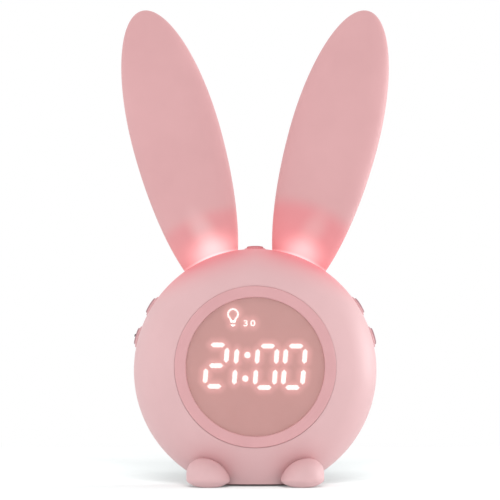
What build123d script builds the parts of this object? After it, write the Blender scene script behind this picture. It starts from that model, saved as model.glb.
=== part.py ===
from build123d import *
import os
from math import atan2, cos, degrees, hypot, pi, radians, sin, sqrt, tan

# A round bedside clock with two soft lamp ears, a lit display and five push buttons.
# Frame: X to the right seen from the front, Y to the back, Z up.
# The origin is on the table, under the middle of the case, in the plane where its halves part.

# Case
BODY_RADIUS = 53.0
FLAT_CUT = 3.7
BASE_GAP = 1.0
WALL = 2.4
FRONT_EDGE_RADIUS = 26.0
FRONT_DEPTH = 35.0
BAND_WIDTH = 14.0
REAR_EDGE_RADIUS = 15.0
REAR_DEPTH = 35.0
LIP_LENGTH = 1.6
LIP_THICKNESS = 1.1
GROOVE_DEPTH = 0.4
GROOVE_WIDTH = 0.5

# Case screws and their posts
POST_ANGLES = (47.5, 132.5, 240.0, 300.0)
POST_INSET = 8.6
POST_RADIUS = 4.0
BOSS_RADIUS = 3.2
SCREW_SEAT = 8.0
SCREW_LENGTH = 17.0
SCREW_RADIUS = 1.1
SCREW_HEAD_RADIUS = 2.5
SCREW_HEAD_HEIGHT = 2.0
DRIVE_SHARE = 0.6
DRIVE_WIDTH = 0.6

# Window and display
BEZEL_RADIUS = 34.4
BEZEL_PROUD = 0.6
BEZEL_FLANGE = 3.0
BEZEL_NECK = 4.0
BEZEL_EDGE = 0.5
WINDOW_RADIUS = 29.5
WINDOW_RISE = 0.8
LENS_RIM = 1.2
LENS_RECESS = 0.8
LENS_THICKNESS = 1.6
NECK_WALL = 1.5
LEDGE_THICKNESS = 2.0
LEDGE_ROOT = 2.9
MASK_THICKNESS = 5.0
DIGIT_HALF_HEIGHT = 8.8
DIGIT_HALF_WIDTH = 4.1
DIGIT_SLANT = 5.0
BAR_WIDTH = 1.95
FLAT_BAR_LENGTH = 6.1
TALL_BAR_LENGTH = 6.4
DOT_RADIUS = 1.33
DOT_HALF_PITCH = 5.0
HOURS_TENS_X = -16.7
HOURS_TENS_RISE = 0.5
HOURS_UNITS_X = -8.4
COLON_X = -3.8
MINUTES_TENS_X = 4.6
MINUTES_UNITS_X = 16.6

# Circuit boards and their small screws
BOARD_THICKNESS = 1.6
BOARD_BOSS_RADIUS = 2.5
BOARD_SCREW_RADIUS = 0.85
BOARD_SCREW_LENGTH = 5.0
BOARD_SCREW_HEAD_RADIUS = 1.8
BOARD_SCREW_HEAD_HEIGHT = 1.2
BOSS_SETBACK = 3.5
DISPLAY_HOLE_ANGLES = (45.0, 135.0, 225.0, 315.0)
BOARD_MARGIN = 0.7

# Ears and their lamps
EAR_TILT = 15.37
EAR_AXIS_OFFSET = 6.32
EAR_HALF_WIDTH = 20.0
EAR_HALF_DEPTH = 8.2
EAR_TIP_LENGTH = 60.3
EAR_ROOT_LENGTH = 72.5
EAR_RISE = 55.3
EAR_WALL = 2.6
EAR_NECK_HALF_WIDTH = 9.5
EAR_NECK_HALF_DEPTH = 3.9
EAR_NECK_WALL = 1.7
EAR_FLANGE_HALF_WIDTH = 11.0
EAR_FLANGE_HALF_DEPTH = 5.3
EAR_FLANGE = 2.6
LED_LENGTH = 3.0
LED_WIDTH = 2.4
LED_HEIGHT = 1.9
LED_HALF_PITCH = 3.2

# Push buttons and switches
SIDE_KEY_ANGLE = 24.0
SIDE_KEY_HALF_PITCH = 7.4
KEY_RADIUS = 4.8
KEY_PROUD = 1.0
KEY_PAD_RADIUS = 3.7
KEY_PAD_PROUD = 0.8
KEY_EDGE = 0.5
KEY_FLANGE_RADIUS = 5.7
KEY_FLANGE = 1.0
KEY_STEM_RADIUS = 2.2
KEY_STEM = 1.2
KEY_TRAVEL = 0.6
PLUNGER_RADIUS = 1.65
PLUNGER_EXPOSED = 1.2
PLUNGER_INSIDE = 0.8
SWITCH_SIDE = 6.2
SWITCH_HEIGHT = 3.5

# Feet and pad
FOOT_X = 19.9
FOOT_HEIGHT = 3.8
FOOT_FRONT = 35.0
FOOT_LONG = 10.1
FOOT_SHORT = 7.7
FOOT_DEPTH = 12.0
FOOT_ROLL = 35.3
SOLE_HEIGHT = 7.0
SOLE_LONG = 11.5
SOLE_DEPTH = 14.5
SOLE_DROP = 7.4
PEG_RADIUS = 2.5
PEG_HEIGHT = 8.6
PEG_LENGTH = 10.0
PEG_REACH = 2.0
PAD_LENGTH = 32.0
PAD_WIDTH = 16.0
PAD_CORNER = 5.0
PAD_RECESS = 0.5
PAD_START = 3.6

# Speaker
SPEAKER_RADIUS = 18.0
SPEAKER_RIM = 3.0
SPEAKER_SHEET = 0.8
SPEAKER_DEPTH = 6.4
SPEAKER_PLATE_RADIUS = 10.2
VOICE_HOLE_RADIUS = 3.6
POLE_RADIUS = 3.2
POLE_HEIGHT = 2.0
MAGNET_RADIUS = 8.0
MAGNET_HEIGHT = 5.0
GASKET_THICKNESS = 0.8
CONE_SHEET = 0.6
CONE_DEPTH = 4.0
DUST_CAP_RADIUS = 4.5
DUST_CAP_RISE = 1.5
SEAT_HEIGHT = 1.6
COLLAR_WALL = 2.0
COLLAR_HEIGHT = 3.2
HOOK_DEPTH = 2.0
HOOK_WIDTH = 6.0
HOOK_COUNT = 3
HOOK_START = 90.0
GRILLE_HOLE_RADIUS = 1.1
GRILLE_PITCH = 4.4
GRILLE_RINGS = 3
GRILLE_RING_STEP = 6

# Battery and charging port
BATTERY_RADIUS = 9.2
BATTERY_LENGTH = 65.0
BATTERY_CAP_RADIUS = 3.2
BATTERY_CAP_HEIGHT = 1.0
CLIP_X = 14.0
CLIP_WALL = 2.0
CLIP_MOUTH = 15.0
POWER_BOSS = 8.0
POWER_BOARD_HALF_LENGTH = 11.0
POWER_BOARD_DEPTH = 15.0
USB_WIDTH = 8.94
USB_HEIGHT = 3.26
USB_LENGTH = 7.4
USB_SHEET = 0.3
USB_TONGUE_WIDTH = 6.7
USB_TONGUE_HEIGHT = 0.7
USB_TONGUE_LENGTH = 5.2
USB_SETBACK = 0.6

# Inner leads
LEAD_RADIUS = 0.7
PLUG_LENGTH = 5.0
PLUG_WIDTH = 3.6
PLUG_HEIGHT = 4.0
LEAD_STRAIGHT = 6.0
LEAD_ARC_SHARE = 0.45
TERMINAL_ANGLE = 20.0
CHIP_SIDE = 8.0
CHIP_HEIGHT = 1.4
PLUG_PLACES = {
    "battery": (26.0, -14.0),
    "speaker": (-26.0, -12.0),
    "power": (0.0, -30.0),
    "right_lamp": (16.0, 22.0),
    "left_lamp": (-16.0, 22.0),
    "right_key": (28.0, 8.0),
    "left_key": (-28.0, 8.0),
    "top_key": (0.0, 28.0),
}
LEAD_BENDS = {
    "battery": (36.0, 4.0, 30.3),
    "speaker": (-16.0, 3.0, 43.8),
    "power": (0.0, -2.0, 15.9),
    "right_lamp": (17.0, 0.0, 78.3),
    "right_key": (28.5, 0.0, 61.3),
    "top_key": (0.0, 1.0, 81.3),
}

# Clearances
FIT = 0.1
SOFT_FIT = 0.05
KEY_FIT = 0.2
PORT_FIT = 0.3
THREAD_FIT = 0.1

# Places that follow from the sizes
BODY_CENTRE_Z = BASE_GAP + BODY_RADIUS - FLAT_CUT
FLOOR_Z = BASE_GAP + WALL
INNER_RADIUS = BODY_RADIUS - WALL
BODY_CENTRE = Vector(0, 0, BODY_CENTRE_Z)
BODY_AXIS = Axis((0, 0, BODY_CENTRE_Z), (0, 1, 0))
BODY_SECTION = Plane.XY.offset(BODY_CENTRE_Z)
ROW_Y = (LIP_LENGTH + BAND_WIDTH) / 2
BOARD_FRONT_Y = LIP_LENGTH + BOARD_MARGIN
BOARD_BOSS_Y = BAND_WIDTH + BOSS_SETBACK
BOARD_BACK_Y = BOARD_BOSS_Y + BOARD_BOSS_RADIUS + BOARD_MARGIN
POST_RING = INNER_RADIUS - POST_INSET
BOARD_PILOT_RADIUS = BOARD_SCREW_RADIUS + THREAD_FIT


def ring_places(radius, angles):
    """Places on a circle at given angles."""
    return [(radius * cos(radians(angle)), radius * sin(radians(angle))) for angle in angles]


POST_PLACES = ring_places(POST_RING, POST_ANGLES)


def face_radius(edge_radius, depth):
    """Radius of the shallow arc across a dome, tangent to the round of its edge."""
    return ((BODY_RADIUS - edge_radius) ** 2 + depth**2 - edge_radius**2) / (2 * (depth - edge_radius))


def edge_sweep(edge_radius, depth):
    """Angle in degrees at which the round of the edge meets the shallow arc."""
    return degrees(atan2(face_radius(edge_radius, depth) - depth, BODY_RADIUS - edge_radius))


def dome_depth(radius, edge_radius, depth, inset=0.0):
    """Depth of a dome, less a wall, at a distance from its axis."""
    face = face_radius(edge_radius, depth)
    if radius < (face - inset) * cos(radians(edge_sweep(edge_radius, depth))):
        return sqrt((face - inset) ** 2 - radius**2) - (face - depth)
    return sqrt((edge_radius - inset) ** 2 - (radius - BODY_RADIUS + edge_radius) ** 2)


def front_face(radius, inset=0.0):
    """Y of the front dome at a distance from the axis of the case."""
    return -dome_depth(radius, FRONT_EDGE_RADIUS, FRONT_DEPTH, inset)


def rear_face(radius, inset=0.0):
    """Y of the rear dome at a distance from the axis of the case."""
    return BAND_WIDTH + dome_depth(radius, REAR_EDGE_RADIUS, REAR_DEPTH - BAND_WIDTH, inset)


def facing(y):
    """Plane square to the axis of the case, seen from the front, with Z up."""
    return Plane(origin=(0, y, BODY_CENTRE_Z), x_dir=(1, 0, 0), z_dir=(0, -1, 0))


def window_facing(y):
    """Facing plane about the middle of the window, a little above that of the case."""
    return Plane(origin=(0, y, BODY_CENTRE_Z + WINDOW_RISE), x_dir=(1, 0, 0), z_dir=(0, -1, 0))


def radial_plane(angle, along, across=0.0, back=0.0):
    """Plane square to a direction in the plane of the case, at an angle from +X, with Y as its y."""
    turn = radians(angle)
    outward = Vector(cos(turn), 0, sin(turn))
    sideways = Vector(sin(turn), 0, -cos(turn))
    origin = BODY_CENTRE + outward * along + sideways * across + Vector(0, back, 0)
    return Plane(origin=origin, x_dir=sideways, z_dir=outward)


def case_form(side, inset, floor):
    """Solid of one half of the case, inset by a wall and cut flat, side is -1 in front and 1 behind."""
    band = BAND_WIDTH if side > 0 else 0.0
    edge_radius = REAR_EDGE_RADIUS if side > 0 else FRONT_EDGE_RADIUS
    depth = (REAR_DEPTH if side > 0 else FRONT_DEPTH) - band
    face = face_radius(edge_radius, depth)
    sweep_angle = edge_sweep(edge_radius, depth)
    corners = [(0, side * (band + depth - inset)), (0, 0), (BODY_RADIUS - inset, 0)]
    if band:
        corners.append((BODY_RADIUS - inset, side * band))
    with BuildPart() as form:
        with BuildSketch(BODY_SECTION):
            with BuildLine():
                Polyline(*corners)
                edge_centre = (BODY_RADIUS - edge_radius, side * band)
                CenterArc(edge_centre, edge_radius - inset, 0, side * sweep_angle)
                face_centre = (0, side * (band + depth - face))
                CenterArc(face_centre, face - inset, side * sweep_angle, side * (90 - sweep_angle))
            make_face()
        revolve(axis=BODY_AXIS)
        split(bisect_by=Plane.XY.offset(floor), keep=Keep.TOP)
    return form.part


def cut_round(radius, floor):
    """Outline of the case in a facing plane: a circle cut flat at a height above the table."""
    Circle(radius)
    with Locations((0, floor - BODY_CENTRE_Z)):
        Rectangle(2 * radius, 2 * radius, align=(Align.CENTER, Align.MAX), mode=Mode.SUBTRACT)


def bar_outline(length, width, turn):
    """Outline of one bar of the display, with pointed ends."""
    half, tip = length / 2, width / 2
    flat = half - tip
    points = [(-half, 0), (-flat, -tip), (flat, -tip), (half, 0), (flat, tip), (-flat, tip)]
    Polygon(*points, rotation=turn)


# Bars of a display figure: column and row in half widths and half heights, and whether it stands
BARS = {
    "top": (0, 1, False),
    "middle": (0, 0, False),
    "bottom": (0, -1, False),
    "upper_left": (-1, 0.5, True),
    "lower_left": (-1, -0.5, True),
    "upper_right": (1, 0.5, True),
    "lower_right": (1, -0.5, True),
    "upper_stroke": (0, 0.5, True),
    "lower_stroke": (0, -0.5, True),
}
FIGURE_ZERO = ("top", "bottom", "upper_left", "lower_left", "upper_right", "lower_right")
FIGURE_ONE = ("upper_stroke", "lower_stroke")
FIGURE_TWO = ("top", "upper_right", "middle", "lower_left", "bottom")
FIGURES = (
    (HOURS_TENS_X, HOURS_TENS_RISE, FIGURE_TWO),
    (HOURS_UNITS_X, 0.0, FIGURE_ONE),
    (MINUTES_TENS_X, 0.0, FIGURE_ZERO),
    (MINUTES_UNITS_X, 0.0, FIGURE_ZERO),
)


def display_outline(growth):
    """Outlines of all lit bars and dots in a facing plane, grown by a clearance all round."""
    lean = tan(radians(DIGIT_SLANT))
    for centre, rise, figure in FIGURES:
        for name in figure:
            column, row, stands = BARS[name]
            z = row * DIGIT_HALF_HEIGHT
            length = TALL_BAR_LENGTH if stands else FLAT_BAR_LENGTH
            turn = 90 - DIGIT_SLANT if stands else 0
            with Locations((centre + column * DIGIT_HALF_WIDTH + z * lean, z + rise)):
                bar_outline(length + 2 * growth, BAR_WIDTH + 2 * growth, turn)
    for z in (-DOT_HALF_PITCH, DOT_HALF_PITCH):
        with Locations((COLON_X + z * lean, z)):
            Circle(DOT_RADIUS + growth)


# Depths of the window and the display, from the bezel back to the board
BEZEL_FACE_Y = front_face(BEZEL_RADIUS) - BEZEL_PROUD
LEDGE_FACE_Y = BEZEL_FACE_Y + BEZEL_FLANGE
LEDGE_BACK_Y = LEDGE_FACE_Y + LEDGE_THICKNESS
LENS_FACE_Y = BEZEL_FACE_Y + LENS_RECESS
LENS_BACK_Y = LENS_FACE_Y + LENS_THICKNESS
LENS_RADIUS = WINDOW_RADIUS + LENS_RIM
NECK_RADIUS = LENS_RADIUS + FIT + NECK_WALL
MASK_FACE_Y = LENS_BACK_Y + FIT
DISPLAY_BOARD_Y = MASK_FACE_Y + MASK_THICKNESS
DISPLAY_BOARD_BACK_Y = DISPLAY_BOARD_Y + BOARD_THICKNESS
DISPLAY_HOLE_RING = NECK_RADIUS + FIT + BOARD_BOSS_RADIUS + BOARD_MARGIN
DISPLAY_BOARD_RADIUS = DISPLAY_HOLE_RING + BOARD_SCREW_HEAD_RADIUS + BOARD_MARGIN
DISPLAY_HOLES = ring_places(DISPLAY_HOLE_RING, DISPLAY_HOLE_ANGLES)

# Heights in the base
POWER_BOARD_Z = FLOOR_Z + POWER_BOSS
USB_Z = POWER_BOARD_Z + BOARD_THICKNESS + USB_HEIGHT / 2
USB_FACE_Y = rear_face(BODY_CENTRE_Z - USB_Z + USB_HEIGHT / 2) - USB_SETBACK
POWER_BOARD_BACK_Y = rear_face(BODY_CENTRE_Z - POWER_BOARD_Z, WALL) - BOARD_MARGIN
POWER_BOARD_FRONT_Y = POWER_BOARD_BACK_Y - POWER_BOARD_DEPTH
POWER_HOLE_X = POWER_BOARD_HALF_LENGTH - BOARD_BOSS_RADIUS
POWER_HOLE_Y = POWER_BOARD_FRONT_Y + BOARD_BOSS_RADIUS
POWER_HOLES = [(-POWER_HOLE_X, POWER_HOLE_Y), (POWER_HOLE_X, POWER_HOLE_Y)]
LOWER_POST_TOP = BODY_CENTRE_Z + min(z for x, z in POST_PLACES) + POST_RADIUS
BATTERY_Z = max(USB_Z + USB_HEIGHT / 2, LOWER_POST_TOP) + BOARD_MARGIN + BATTERY_RADIUS
BATTERY_Y = BOARD_FRONT_Y + CLIP_WALL + BATTERY_RADIUS
PAD_Y = PAD_START + PAD_WIDTH / 2

# Depths of the speaker
SPEAKER_SEAT_Y = rear_face(SPEAKER_RADIUS + COLLAR_WALL, WALL) - SEAT_HEIGHT
SPEAKER_RIM_Y = SPEAKER_SEAT_Y - GASKET_THICKNESS - CONE_SHEET
SPEAKER_BACK_Y = SPEAKER_RIM_Y - SPEAKER_SHEET - SPEAKER_DEPTH

# Ear seats, as lengths along the ear from its foot point beside the middle of the case
EAR_ANGLES = {1: 90 - EAR_TILT, -1: 90 + EAR_TILT}
EAR_SEAT = sqrt(BODY_RADIUS**2 - EAR_AXIS_OFFSET**2)
EAR_WIDEST = EAR_SEAT + EAR_RISE
LAMP_BOARD_TOP = sqrt(INNER_RADIUS**2 - (EAR_AXIS_OFFSET + EAR_FLANGE_HALF_WIDTH) ** 2) - EAR_FLANGE


def ear_plane(side, along, back=ROW_Y):
    """Plane square to the axis of one ear, side is -1 on the left and 1 on the right."""
    return radial_plane(EAR_ANGLES[side], along, side * EAR_AXIS_OFFSET, back)


def key_seat(across):
    """Where the top of a button's flange lies, along its direction, under the inner wall."""
    return sqrt(INNER_RADIUS**2 - (abs(across) + KEY_FLANGE_RADIUS) ** 2) - FIT


def key_board_top(across):
    """Where the board under a button's switch lies, along the button's direction."""
    return key_seat(across) - KEY_FLANGE - KEY_STEM - PLUNGER_EXPOSED - SWITCH_HEIGHT


# Rows of buttons: direction, places across it, half width of the board, bosses of the board
SIDE_BOARD_HALF = SIDE_KEY_HALF_PITCH + SWITCH_SIDE / 2 + BOARD_MARGIN
TOP_BOARD_HALF = SWITCH_SIDE / 2 + BOARD_MARGIN
SIDE_BOSSES = (-SIDE_KEY_HALF_PITCH, SIDE_KEY_HALF_PITCH)
KEY_ROWS = {
    "left": (180 - SIDE_KEY_ANGLE, SIDE_KEY_HALF_PITCH, SIDE_BOARD_HALF, SIDE_BOSSES),
    "right": (SIDE_KEY_ANGLE, SIDE_KEY_HALF_PITCH, SIDE_BOARD_HALF, SIDE_BOSSES),
    "top": (90.0, 0.0, TOP_BOARD_HALF, (0.0,)),
}
KEYS = {
    "snooze": ("top", 0.0),
    "upper_left": ("left", SIDE_KEY_HALF_PITCH),
    "lower_left": ("left", -SIDE_KEY_HALF_PITCH),
    "upper_right": ("right", -SIDE_KEY_HALF_PITCH),
    "lower_right": ("right", SIDE_KEY_HALF_PITCH),
}

# Ends of the bosses that hold the key boards and the lamp boards
BOSS_PLANES = [
    radial_plane(angle, key_board_top(across), place, BOARD_BOSS_Y)
    for angle, across, half, bosses in KEY_ROWS.values()
    for place in bosses
]
BOSS_PLANES += [ear_plane(side, LAMP_BOARD_TOP, BOARD_BOSS_Y) for side in (-1, 1)]


def key_plane(key, along):
    """Plane square to the travel of one button, at a length from the middle of the case."""
    row, across = KEYS[key]
    return radial_plane(KEY_ROWS[row][0], along, across, ROW_Y)


os.makedirs("parts", exist_ok=True)


def save(piece, name):
    """Label a finished piece and write its file."""
    piece.label = name
    export_step(piece, f"parts/{name}.step")


# Front shell: domed half with the stepped seat for the bezel, board bosses, screw bosses,
# foot holes and a tongue that centres it in the rear shell
front_outer = case_form(-1, 0, BASE_GAP)
front_cavity = case_form(-1, WALL, FLOOR_Z)

with BuildPart() as front_fittings:
    # Screw bosses
    with BuildSketch(facing(0)):
        with Locations(*POST_PLACES):
            Circle(BOSS_RADIUS)
    extrude(amount=FRONT_DEPTH)
    # Ledge behind the bezel and the bosses of the display board on it
    with BuildSketch(window_facing(LEDGE_BACK_Y)):
        Circle(BEZEL_RADIUS + LEDGE_ROOT)
    extrude(amount=FRONT_DEPTH)
    with BuildSketch(window_facing(DISPLAY_BOARD_Y)):
        with Locations(*DISPLAY_HOLES):
            Circle(BOARD_BOSS_RADIUS)
    extrude(amount=FRONT_DEPTH)
    add(front_outer, mode=Mode.INTERSECT)

with BuildPart() as front_shell:
    add(front_outer)
    # Tongue that enters the rear shell
    with BuildSketch(facing(LIP_LENGTH)):
        cut_round(INNER_RADIUS + LIP_THICKNESS, FLOOR_Z - LIP_THICKNESS)
    extrude(amount=LIP_LENGTH + LIP_THICKNESS)
    add(front_cavity, mode=Mode.SUBTRACT)
    with BuildSketch(facing(LIP_LENGTH)):
        cut_round(INNER_RADIUS, FLOOR_Z)
    extrude(amount=LIP_LENGTH, mode=Mode.SUBTRACT)
    add(front_fittings.part)
    # Window: the bezel's seat in front of the ledge, and the hole through the ledge
    with BuildSketch(window_facing(LEDGE_FACE_Y)):
        Circle(BEZEL_RADIUS + FIT)
    extrude(amount=FRONT_DEPTH, mode=Mode.SUBTRACT)
    with BuildSketch(window_facing(LEDGE_BACK_Y)):
        Circle(NECK_RADIUS + FIT)
    extrude(amount=FRONT_DEPTH, mode=Mode.SUBTRACT)
    # Pilot holes and the holes for the pegs of the feet
    with BuildSketch(window_facing(DISPLAY_BOARD_Y)):
        with Locations(*DISPLAY_HOLES):
            Circle(BOARD_PILOT_RADIUS)
    extrude(amount=BOARD_SCREW_LENGTH - BOARD_THICKNESS, mode=Mode.SUBTRACT)
    with BuildSketch(facing(0)):
        with Locations(*POST_PLACES):
            Circle(SCREW_RADIUS + THREAD_FIT)
    extrude(amount=SCREW_LENGTH - SCREW_SEAT + BOARD_MARGIN, mode=Mode.SUBTRACT)
    with BuildSketch(facing(0)):
        for side in (-1, 1):
            with Locations((side * FOOT_X, PEG_HEIGHT - BODY_CENTRE_Z)):
                Circle(PEG_RADIUS + FIT)
    extrude(amount=FRONT_DEPTH, mode=Mode.SUBTRACT)
save(front_shell.part, "front_shell")


# Rear shell: deeper half with the straight band that carries the ears and the buttons, the
# speaker seat behind its holes, battery clips, screw wells, board bosses and the charging port
rear_outer = case_form(1, 0, BASE_GAP)
rear_cavity = case_form(1, WALL, FLOOR_Z)

with BuildPart() as parting_core:
    with BuildSketch(facing(GROOVE_WIDTH)):
        cut_round(BODY_RADIUS - GROOVE_DEPTH, BASE_GAP + GROOVE_DEPTH)
    extrude(amount=GROOVE_WIDTH)

with BuildPart() as parting_groove:
    with BuildSketch(facing(GROOVE_WIDTH)):
        Circle(BODY_RADIUS + WALL)
    extrude(amount=GROOVE_WIDTH)
    add(parting_core.part, mode=Mode.SUBTRACT)

with BuildPart() as rear_fittings:
    # Screw posts
    with BuildSketch(facing(0)):
        with Locations(*POST_PLACES):
            Circle(POST_RADIUS)
    extrude(amount=-REAR_DEPTH)
    # Speaker seat and the collar round it
    with BuildSketch(facing(SPEAKER_SEAT_Y)):
        Circle(SPEAKER_RADIUS + FIT + COLLAR_WALL)
        Circle(SPEAKER_RADIUS - SPEAKER_RIM, mode=Mode.SUBTRACT)
    extrude(amount=-REAR_DEPTH)
    with BuildSketch(facing(SPEAKER_SEAT_Y)):
        Circle(SPEAKER_RADIUS + FIT + COLLAR_WALL)
        Circle(SPEAKER_RADIUS + FIT, mode=Mode.SUBTRACT)
    extrude(amount=COLLAR_HEIGHT)
    with BuildSketch(facing(SPEAKER_RIM_Y - SPEAKER_SHEET - FIT)):
        with PolarLocations(SPEAKER_RADIUS, HOOK_COUNT, HOOK_START):
            Rectangle(HOOK_DEPTH, HOOK_WIDTH)
    extrude(amount=SPEAKER_RIM_Y - SPEAKER_SHEET - FIT - SPEAKER_SEAT_Y + COLLAR_HEIGHT)
    # Battery clips, open to the front
    for side in (-1, 1):
        with BuildSketch(Plane.YZ.offset(side * CLIP_X - CLIP_WALL / 2)):
            with Locations((BATTERY_Y, 0)):
                Rectangle(
                    2 * (BATTERY_RADIUS + FIT + CLIP_WALL),
                    BATTERY_Z + BATTERY_RADIUS + FIT + CLIP_WALL,
                    align=(Align.CENTER, Align.MIN),
                )
            with Locations((BATTERY_Y, BATTERY_Z)):
                Circle(BATTERY_RADIUS + FIT, mode=Mode.SUBTRACT)
                Rectangle(REAR_DEPTH, CLIP_MOUTH, align=(Align.MAX, Align.CENTER), mode=Mode.SUBTRACT)
        extrude(amount=CLIP_WALL)
    # Bosses of the power board
    with BuildSketch(Plane.XY):
        with Locations(*POWER_HOLES):
            Circle(BOARD_BOSS_RADIUS)
    extrude(amount=POWER_BOARD_Z)
    # Bosses of the key boards and the lamp boards
    for plane in BOSS_PLANES:
        with BuildSketch(plane):
            Circle(BOARD_BOSS_RADIUS)
        extrude(amount=BODY_RADIUS)
    add(rear_outer, mode=Mode.INTERSECT)

with BuildPart() as rear_shell:
    add(rear_outer)
    add(rear_cavity, mode=Mode.SUBTRACT)
    with BuildSketch(facing(0)):
        cut_round(INNER_RADIUS + LIP_THICKNESS + FIT, FLOOR_Z - LIP_THICKNESS - FIT)
    extrude(amount=-(LIP_LENGTH + FIT), mode=Mode.SUBTRACT)
    add(parting_groove.part, mode=Mode.SUBTRACT)
    add(rear_fittings.part)
    # Screw wells and holes
    with BuildSketch(facing(SCREW_SEAT)):
        with Locations(*POST_PLACES):
            Circle(SCREW_HEAD_RADIUS + PORT_FIT)
    extrude(amount=-REAR_DEPTH, mode=Mode.SUBTRACT)
    with BuildSketch(facing(SCREW_SEAT)):
        with Locations(*POST_PLACES):
            Circle(SCREW_RADIUS + PORT_FIT)
    extrude(amount=SCREW_SEAT, mode=Mode.SUBTRACT)
    # Speaker holes in rings
    with BuildSketch(facing(SPEAKER_SEAT_Y)):
        Circle(GRILLE_HOLE_RADIUS)
        for ring in range(1, GRILLE_RINGS + 1):
            with PolarLocations(ring * GRILLE_PITCH, GRILLE_RING_STEP * ring):
                Circle(GRILLE_HOLE_RADIUS)
    extrude(amount=-REAR_DEPTH, mode=Mode.SUBTRACT)
    # Charging port
    with BuildSketch(facing(USB_FACE_Y - USB_LENGTH)):
        with Locations((0, USB_Z - BODY_CENTRE_Z)):
            SlotOverall(USB_WIDTH + 2 * PORT_FIT, USB_HEIGHT + 2 * PORT_FIT)
    extrude(amount=-REAR_DEPTH, mode=Mode.SUBTRACT)
    # Recess for the pad
    with BuildSketch(Plane.XY.offset(BASE_GAP)):
        with Locations((0, PAD_Y)):
            RectangleRounded(PAD_LENGTH + 2 * FIT, PAD_WIDTH + 2 * FIT, PAD_CORNER + FIT)
    extrude(amount=PAD_RECESS, mode=Mode.SUBTRACT)
    # Holes for the buttons and the ears
    for key in KEYS:
        with BuildSketch(key_plane(key, key_seat(KEYS[key][1]))):
            Circle(KEY_RADIUS + KEY_FIT)
        extrude(amount=BODY_RADIUS, mode=Mode.SUBTRACT)
    for side in (-1, 1):
        with BuildSketch(ear_plane(side, LAMP_BOARD_TOP)):
            Ellipse(EAR_NECK_HALF_WIDTH + FIT, EAR_NECK_HALF_DEPTH + FIT)
        extrude(amount=BODY_RADIUS, mode=Mode.SUBTRACT)
    # Pilot holes in the board bosses
    with BuildSketch(Plane.XY.offset(POWER_BOARD_Z)):
        with Locations(*POWER_HOLES):
            Circle(BOARD_PILOT_RADIUS)
    extrude(amount=-BOARD_SCREW_LENGTH, mode=Mode.SUBTRACT)
    for plane in BOSS_PLANES:
        with BuildSketch(plane):
            Circle(BOARD_PILOT_RADIUS)
        extrude(amount=BOARD_SCREW_LENGTH, mode=Mode.SUBTRACT)
save(rear_shell.part, "rear_shell")


# Bezel: ring with a lip in front of the lens and a neck through the ledge of the front shell
with BuildPart() as bezel_ring:
    with BuildSketch(window_facing(LEDGE_FACE_Y)):
        Circle(BEZEL_RADIUS)
    extrude(amount=BEZEL_FLANGE)
    with BuildSketch(window_facing(LEDGE_FACE_Y + BEZEL_NECK)):
        Circle(NECK_RADIUS)
    extrude(amount=BEZEL_NECK)
    with BuildSketch(window_facing(LEDGE_FACE_Y + BEZEL_NECK)):
        Circle(WINDOW_RADIUS)
    extrude(amount=FRONT_DEPTH, mode=Mode.SUBTRACT)
    with BuildSketch(window_facing(LEDGE_FACE_Y + BEZEL_NECK)):
        Circle(LENS_RADIUS + FIT)
    extrude(amount=LEDGE_FACE_Y + BEZEL_NECK - LENS_FACE_Y, mode=Mode.SUBTRACT)
    fillet(bezel_ring.faces().sort_by(Axis.Y)[0].edges(), BEZEL_EDGE)
save(bezel_ring.part, "bezel_ring")


# Lens: flat tinted disc behind the lip of the bezel
with BuildPart() as display_lens:
    with BuildSketch(window_facing(LENS_BACK_Y)):
        Circle(LENS_RADIUS)
    extrude(amount=LENS_THICKNESS)
save(display_lens.part, "display_lens")


# Light mask: opaque disc with one well for each bar, and the clear bars that fill the wells
with BuildPart() as light_mask:
    with BuildSketch(window_facing(DISPLAY_BOARD_Y)):
        Circle(LENS_RADIUS)
    extrude(amount=MASK_THICKNESS)
    with BuildSketch(window_facing(DISPLAY_BOARD_Y)):
        display_outline(SOFT_FIT)
    extrude(amount=MASK_THICKNESS, mode=Mode.SUBTRACT)
save(light_mask.part, "light_mask")

with BuildPart() as segment_bars:
    with BuildSketch(window_facing(DISPLAY_BOARD_Y)):
        display_outline(0)
    extrude(amount=MASK_THICKNESS)
save(segment_bars.part, "segment_bars")


# Display board: round board behind the mask, with its chip and plugs on the back
PLUG_TOP_Y = DISPLAY_BOARD_BACK_Y + PLUG_HEIGHT

with BuildPart() as display_board:
    with BuildSketch(window_facing(DISPLAY_BOARD_BACK_Y)):
        Circle(DISPLAY_BOARD_RADIUS)
        with Locations(*DISPLAY_HOLES):
            Circle(BOARD_SCREW_RADIUS + PORT_FIT, mode=Mode.SUBTRACT)
    extrude(amount=BOARD_THICKNESS)
save(display_board.part, "display_board")

with BuildPart() as board_components:
    with BuildSketch(window_facing(DISPLAY_BOARD_BACK_Y)):
        Rectangle(CHIP_SIDE, CHIP_SIDE)
    extrude(amount=-CHIP_HEIGHT)
    with BuildSketch(window_facing(DISPLAY_BOARD_BACK_Y)):
        with Locations(*PLUG_PLACES.values()):
            Rectangle(PLUG_LENGTH, PLUG_WIDTH)
    extrude(amount=-PLUG_HEIGHT)
save(board_components.part, "board_components")


def screws(plane, places, head_side, length, radius, head_radius, head_height):
    """Group of screws with their heads on one side of a plane, each with a cross recess."""
    drive = 2 * DRIVE_SHARE * head_radius
    with BuildPart() as group:
        with BuildSketch(plane):
            with Locations(*places):
                Circle(head_radius)
        extrude(amount=head_side * head_height)
        with BuildSketch(plane):
            with Locations(*places):
                Circle(radius)
        extrude(amount=-head_side * length)
        with BuildSketch(plane.offset(head_side * head_height)):
            with Locations(*places):
                Rectangle(drive, DRIVE_WIDTH)
                Rectangle(DRIVE_WIDTH, drive)
        extrude(amount=-head_side * DRIVE_SHARE * head_height, mode=Mode.SUBTRACT)
    return group.part


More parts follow.
